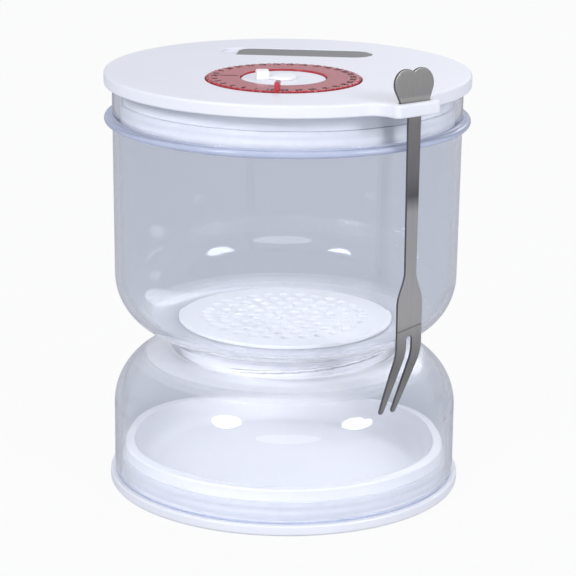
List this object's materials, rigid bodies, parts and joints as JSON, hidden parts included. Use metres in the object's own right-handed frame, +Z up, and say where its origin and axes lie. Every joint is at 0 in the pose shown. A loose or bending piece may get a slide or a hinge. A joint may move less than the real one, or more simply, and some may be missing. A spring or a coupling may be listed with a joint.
{
  "type": "pickle jar with strainer",
  "caption": "Clear hourglass pickle jar: chambers screwed together at a strainer, a plug lid with date dial, vent and fork holder, a plug base and a heart-headed fork.",
  "frame": {"origin": "centre of the jar's axis on the plane that the base plate stands on", "axes": "+Z up along the jar's axis, -Y towards the side of the lid with the date dial, the fork holder between -Y and +X"},
  "size_m": [0.135, 0.135, 0.1684],
  "materials": {
    "white_plastic": "satin, injection moulded",
    "clear_plastic": "clear, polished mould",
    "silicone": "matt, moulded silicone",
    "red_plastic": "translucent, polished",
    "dark_ink": "printed",
    "grey_plastic": "fine grained",
    "steel": "satin stainless sheet"
  },
  "bodies": {
    "base": {"base_plate": "white_plastic", "base_plug": "white_plastic", "base_seal": "silicone"},
    "lower_chamber": {"lower_jar": "clear_plastic"},
    "gasket": {"waist_gasket": "silicone"},
    "upper_chamber": {"upper_jar": "clear_plastic"},
    "strainer": {"strainer": "white_plastic"},
    "lid": {"lid_plate": "white_plastic", "lid_plug": "white_plastic", "lid_seal": "silicone", "grip_inlay": "grey_plastic", "dial_hub": "white_plastic"},
    "dial": {"date_ring": "red_plastic", "day_marks": "dark_ink"},
    "vent": {"vent_plug": "silicone"},
    "fork": {"fork": "steel"}
  },
  "joints": [
    {"name": "base_pull", "type": "slide", "parent": "base", "child": "lower_chamber", "axis": [0, 0, 1], "range_m": [0, 0.03]},
    {"name": "waist_rise", "type": "slide", "parent": "lower_chamber", "child": "gasket", "axis": [0, 0, 1], "range_m": [0, 0.012]},
    {"name": "waist_turn", "type": "hinge", "parent": "gasket", "child": "upper_chamber", "pos_m": [0, 0, 0.059], "axis": [0, 0, 1], "range_deg": [0, 360]},
    {"name": "strainer_lift", "type": "slide", "parent": "upper_chamber", "child": "strainer", "axis": [0, 0, 1], "range_m": [0, 0.07]},
    {"name": "lid_lift", "type": "slide", "parent": "upper_chamber", "child": "lid", "axis": [0, 0, 1], "range_m": [0, 0.06]},
    {"name": "dial_turn", "type": "hinge", "parent": "lid", "child": "dial", "pos_m": [0, -0.0175, 0.157], "axis": [0, 0, 1], "continuous": true},
    {"name": "vent_pull", "type": "slide", "parent": "lid", "child": "vent", "axis": [0, 0, 1], "range_m": [0, 0.006]},
    {"name": "fork_lift", "type": "slide", "parent": "lid", "child": "fork", "axis": [0, 0, 1], "range_m": [0, 0.07]}
  ],
  "couplings": [
    {"joint": "waist_rise", "follows": "waist_turn", "m_per_rad": 0.0019098}
  ]
}
